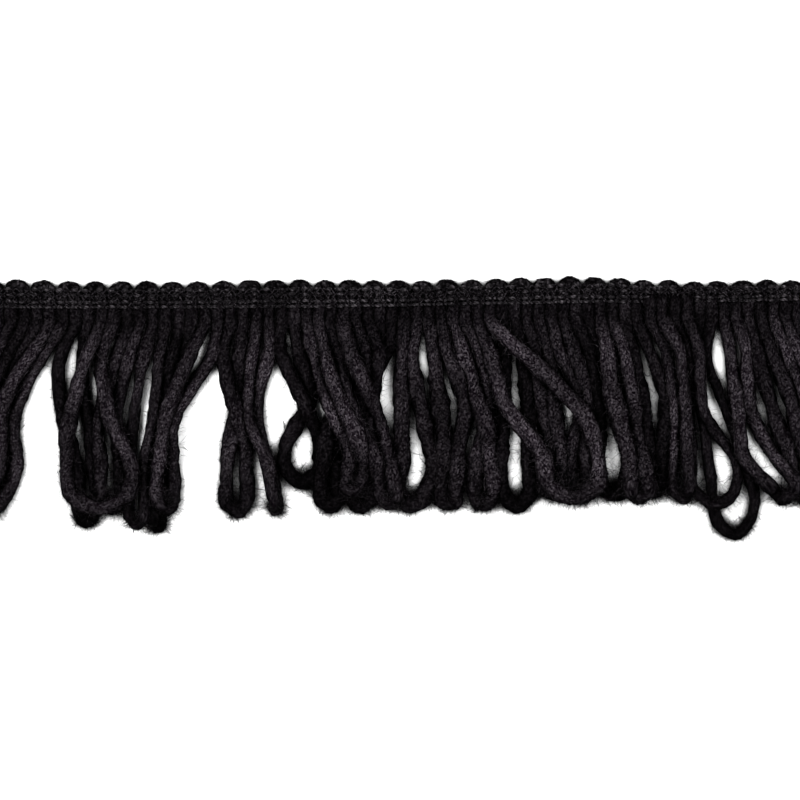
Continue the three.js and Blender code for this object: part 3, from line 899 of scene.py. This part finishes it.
def zigzag_rings(dips, lower, upper, phase):
    """Rings of a thread that crosses to and fro between two rows of stitches, within the band."""
    stitches = (len(dips) - 1) * STITCHES_PER_SCALLOP
    count = np.linspace(0, stitches, stitches * ZIGZAG_STEPS + 1)

    def wander(name):
        kind = ZIGZAG_WANDERS[name]
        return drift(1, len(count), stitches / kind["stitches"], kind["size"])[0]

    across = smooth_share(np.abs(2 * ((count + phase) % 1) - 1), *ZIGZAG_CROSSING)
    along = np.interp(count / STITCHES_PER_SCALLOP, np.arange(len(dips)), dips)
    low = edge_line("low", along)
    share = lower["share"] + (upper["share"] - lower["share"]) * across
    up = low + share * (edge_line("high", along) - low) + wander("up")
    along = along + wander("along")
    crown = smooth_share(share, BAND_ROW["share"], CROWN_ROW["share"])
    height = ZIGZAG_LOW + (ZIGZAG_HIGH - ZIGZAG_LOW) * np.sin(across * math.pi)
    height += ZIGZAG_CROWN_RISE * crown
    height += wander("height")
    routes = np.column_stack([along, up, height])[None]
    radii = np.full(routes.shape[:2], ZIGZAG_RADIUS)
    lights = np.full(len(along), CROSSING_COLOUR_FACTOR)
    return round_rings(routes, radii, ZIGZAG_SIDES), np.column_stack([lights, along])[None]


def new_material(name):
    """A node material with its shader and node tree."""
    material = bpy.data.materials.new(name)
    material.use_nodes = True
    tree = material.node_tree
    return material, tree.nodes["Principled BSDF"], tree


def drawn_out(tree, layer, round_scale, along_scale):
    """One layer of the yarn's coordinates, scaled round it and along it."""
    place = tree.nodes.new("ShaderNodeUVMap")
    place.uv_map = layer
    scale = tree.nodes.new("ShaderNodeMapping")
    scale.inputs["Scale"].default_value = (round_scale, along_scale, 1)
    tree.links.new(place.outputs["UV"], scale.inputs["Vector"])
    return scale.outputs["Vector"]


def streaks(tree, layer, round_scale, along_scale, detail):
    """Noise drawn out along the yarn, from one layer of its lengthwise coordinates in millimetres."""
    noise = tree.nodes.new("ShaderNodeTexNoise")
    noise.inputs["Scale"].default_value = 1
    noise.inputs["Detail"].default_value = detail
    noise.inputs["Roughness"].default_value = STREAK_ROUGHNESS
    tree.links.new(drawn_out(tree, layer, round_scale, along_scale), noise.inputs["Vector"])
    return noise.outputs["Fac"]


def bits(tree, layer, round_scale, along_scale):
    """A chance value for each short bit of fibre, drawn out along the yarn."""
    cells = tree.nodes.new("ShaderNodeTexVoronoi")
    cells.voronoi_dimensions = "2D"
    cells.inputs["Scale"].default_value = 1
    tree.links.new(drawn_out(tree, layer, round_scale, along_scale), cells.inputs["Vector"])
    return cells.outputs["Color"]


def raised(tree, value, power):
    """A value raised to a power."""
    node = tree.nodes.new("ShaderNodeMath")
    node.operation = "POWER"
    node.inputs[1].default_value = power
    tree.links.new(value, node.inputs[0])
    return node.outputs["Value"]


def times(tree, first, second):
    """Product of two values."""
    node = tree.nodes.new("ShaderNodeMath")
    node.operation = "MULTIPLY"
    tree.links.new(first, node.inputs[0])
    tree.links.new(second, node.inputs[1])
    return node.outputs["Value"]


def blended(tree, first, second, share):
    """A share of the second value mixed into the first."""
    node = tree.nodes.new("ShaderNodeMix")
    node.inputs["Factor"].default_value = share
    tree.links.new(first, node.inputs["A"])
    tree.links.new(second, node.inputs["B"])
    return node.outputs["Result"]


def mapped(tree, value, inputs, outputs):
    """A value taken from one range to another, and kept inside it."""
    node = tree.nodes.new("ShaderNodeMapRange")
    node.inputs["From Min"].default_value = inputs[0]
    node.inputs["From Max"].default_value = inputs[1]
    node.inputs["To Min"].default_value = outputs[0]
    node.inputs["To Max"].default_value = outputs[1]
    tree.links.new(value, node.inputs["Value"])
    return node.outputs["Result"]


def colour_factor(tree):
    """Factor on the yarn's colour, from the first of its strand's coordinates: painted light and shade on
    the loops.
    """
    place = tree.nodes.new("ShaderNodeUVMap")
    place.uv_map = "along_strand"
    parts = tree.nodes.new("ShaderNodeSeparateXYZ")
    tree.links.new(place.outputs["UV"], parts.inputs["Vector"])
    return parts.outputs["X"]


def upward_share(tree):
    """How far the surface faces up, from -1 to 1."""
    surface = tree.nodes.new("ShaderNodeNewGeometry")
    parts = tree.nodes.new("ShaderNodeSeparateXYZ")
    tree.links.new(surface.outputs["Normal"], parts.inputs["Vector"])
    return parts.outputs["Z"]


def openness(tree, reach):
    """How open the surface is to light, past what lies within reach."""
    shade = tree.nodes.new("ShaderNodeAmbientOcclusion")
    shade.inputs["Distance"].default_value = reach * MM
    shade.samples = SHADE_SAMPLES
    return shade.outputs["AO"]


def fibre_material(name):
    """Yarn or thread: streaks and bits of two near-black tones with painted shade, fibre relief and hardly
    any gloss.
    """
    finish = FINISHES[name]
    material, shader, tree = new_material(name)
    locks = streaks(tree, "along_yarn", finish["locks_round"], finish["locks_along"], LOCK_DETAIL)
    grain = bits(tree, "along_yarn", GRAIN_ROUND * finish["locks_round"], GRAIN_WAVES)
    fine = blended(tree, locks, grain, GRAIN_SHARE)
    speckle = raised(tree, mapped(tree, fine, GRAIN_RANGE, (0, 1)), finish["skew"])
    wander = mapped(tree, streaks(tree, "along_strand", 0, TONE_WAVES, TONE_DETAIL), TONE_RANGE, (0, 1))
    tone = mapped(tree, raised(tree, wander, TONE_SKEW), (0, 1), finish["tones"])
    # Painted shade: colour darkened where other yarn lies close, deep in the pile
    painted_depth_shade = mapped(tree, openness(tree, SHADE_REACH), SHADE_RANGE, finish["painted_depth_shades"])
    # Painted shade: colour darkened on a strand's sides, by how far its surface faces up
    painted_side_shade = mapped(tree, upward_share(tree), PAINTED_SIDE_SHADE_RANGE, (finish["sides"], 1))
    # Random tone times painted light and shade, as a factor on the colour
    painted_light_and_tone = times(tree, times(tree, tone, painted_depth_shade), times(tree, colour_factor(tree), painted_side_shade))
    ramp = tree.nodes.new("ShaderNodeValToRGB")
    ramp.color_ramp.elements[0].color = (*finish["dark"], 1)
    ramp.color_ramp.elements[1].color = (*finish["light"], 1)
    tinted = tree.nodes.new("ShaderNodeMix")
    tinted.data_type = "RGBA"
    tinted.blend_type = "MULTIPLY"
    tinted.inputs["Factor"].default_value = 1
    relief = tree.nodes.new("ShaderNodeBump")
    relief.inputs["Strength"].default_value = finish["relief"]
    relief.inputs["Distance"].default_value = RELIEF_HEIGHT * MM
    tree.links.new(speckle, ramp.inputs["Fac"])
    tree.links.new(ramp.outputs["Color"], tinted.inputs["A"])
    tree.links.new(painted_light_and_tone, tinted.inputs["B"])
    tree.links.new(tinted.outputs["Result"], shader.inputs["Base Color"])
    tree.links.new(fine, relief.inputs["Height"])
    tree.links.new(relief.outputs["Normal"], shader.inputs["Normal"])
    shader.inputs["Roughness"].default_value = finish["roughness"]
    shader.inputs["Specular IOR Level"].default_value = finish["gloss"]
    return material


def floor():
    """White table under the trim, with the trim's shadow painted on it where the trim lies close."""
    material, shader, tree = new_material("white_table")
    # Painted shadow: the table's colour darkens where the trim lies within reach
    tone = mapped(tree, openness(tree, TABLE_SHADE_REACH), TABLE_SHADE_RANGE, TABLE_PAINTED_SHADOW_TONES)
    tree.links.new(tone, shader.inputs["Base Color"])
    shader.inputs["Roughness"].default_value = TABLE_ROUGHNESS
    shader.inputs["Specular IOR Level"].default_value = TABLE_GLOSS
    bpy.ops.mesh.primitive_plane_add(size=TABLE_SIZE)
    table = bpy.context.object
    table.name = "table"
    table.data.materials.append(material)


def soft_light(name, place, power):
    """A large soft lamp aimed at the trim."""
    lamp = bpy.data.lights.new(name, "AREA")
    lamp.shape = "DISK"
    lamp.size = LAMP_SIZE
    lamp.energy = power
    holder = bpy.data.objects.new(name, lamp)
    holder.location = place
    holder.rotation_euler = (-Vector(place)).to_track_quat("-Z", "Y").to_euler()
    bpy.context.collection.objects.link(holder)


def studio():
    """Pale surroundings, soft lamps and a camera straight above the trim."""
    world = bpy.data.worlds.new("pale_studio")
    world.use_nodes = True
    sky = world.node_tree.nodes["Background"]
    sky.inputs["Color"].default_value = (1, 1, 1, 1)
    sky.inputs["Strength"].default_value = SKY_STRENGTH
    bpy.context.scene.world = world
    for lamp in LAMPS:
        soft_light(**lamp)
    bpy.context.scene.view_settings.view_transform = "Standard"

    lens = bpy.data.cameras.new("camera")
    lens.lens = LENS
    lens.sensor_width = SENSOR
    camera = bpy.data.objects.new("camera", lens)
    camera.location = (VIEW_CENTRE[0] * MM, VIEW_CENTRE[1] * MM, VIEW_WIDTH * MM * LENS / SENSOR)
    bpy.context.collection.objects.link(camera)
    bpy.context.scene.camera = camera


def fringe_pieces(dips, yarn_finish, fibre_finish):
    """The loops: bodies of the yarn, fibres that lie along them, and stray fibres."""
    yarn = loop_yarn(dips)
    bodies = Tubes()
    bodies.add(*yarn.rings(YARN_SIDES))
    bodies.piece("loop_bodies", "loop_fringe", "fringe_yarn", yarn_finish)
    lying = Tubes()
    lying.add(*yarn.lying_fibres(**LOOP_LYING))
    lying.piece("loop_fibres", "loop_fringe", "fringe_yarn", fibre_finish)
    for part in FUZZ_PARTS:
        loose = Tubes()
        loose.add(*yarn.loose_fibres(**SHORT_FUZZ))
        loose.add(*yarn.loose_fibres(**LONG_FUZZ))
        loose.piece("loop_fuzz_" + part, "loop_fringe", "fringe_yarn", fibre_finish)


def heading_pieces(dips, yarn_finish, fibre_finish, thread_finish):
    """The heading: the yarn's turns with their fibres, and rows of stitches with threads that cross."""
    yarn = scallop_yarn(dips)
    bodies = Tubes()
    bodies.add(*yarn.rings(YARN_SIDES))
    bodies.piece("scallop_bodies", "heading", "heading_thread", yarn_finish)
    fibres = Tubes()
    fibres.add(*yarn.lying_fibres(**SCALLOP_LYING))
    fibres.add(*yarn.lying_fibres(**SCALLOP_CROSSING))
    fibres.add(*yarn.loose_fibres(**SCALLOP_FUZZ))
    fibres.piece("scallop_fibres", "heading", "heading_thread", fibre_finish)
    crossings = Tubes()
    for lower, upper in zip(STITCH_ROWS, STITCH_ROWS[1:]):
        for phase in ZIGZAG_PHASES:
            wander = chance.uniform(-ZIGZAG_PHASE_WANDER, ZIGZAG_PHASE_WANDER)
            crossings.add(*zigzag_rings(dips, lower, upper, phase + wander))
    crossings.piece("crossing_threads", "heading", "heading_thread", yarn_finish)
    stitches = Tubes()
    for row in STITCH_ROWS:
        stitches.add(*stitch_rings(dips, row))
    stitches.piece("chain_stitches", "heading", "heading_thread", thread_finish)


def main():
    """Makes the trim, the table, the light and the camera."""
    dips = dip_places()
    fringe_pieces(dips, fibre_material("black_yarn"), fibre_material("black_fibre"))
    heading_pieces(
        dips,
        fibre_material("black_crown"),
        fibre_material("black_crown_fibre"),
        fibre_material("black_thread"),
    )
    floor()
    studio()


main()
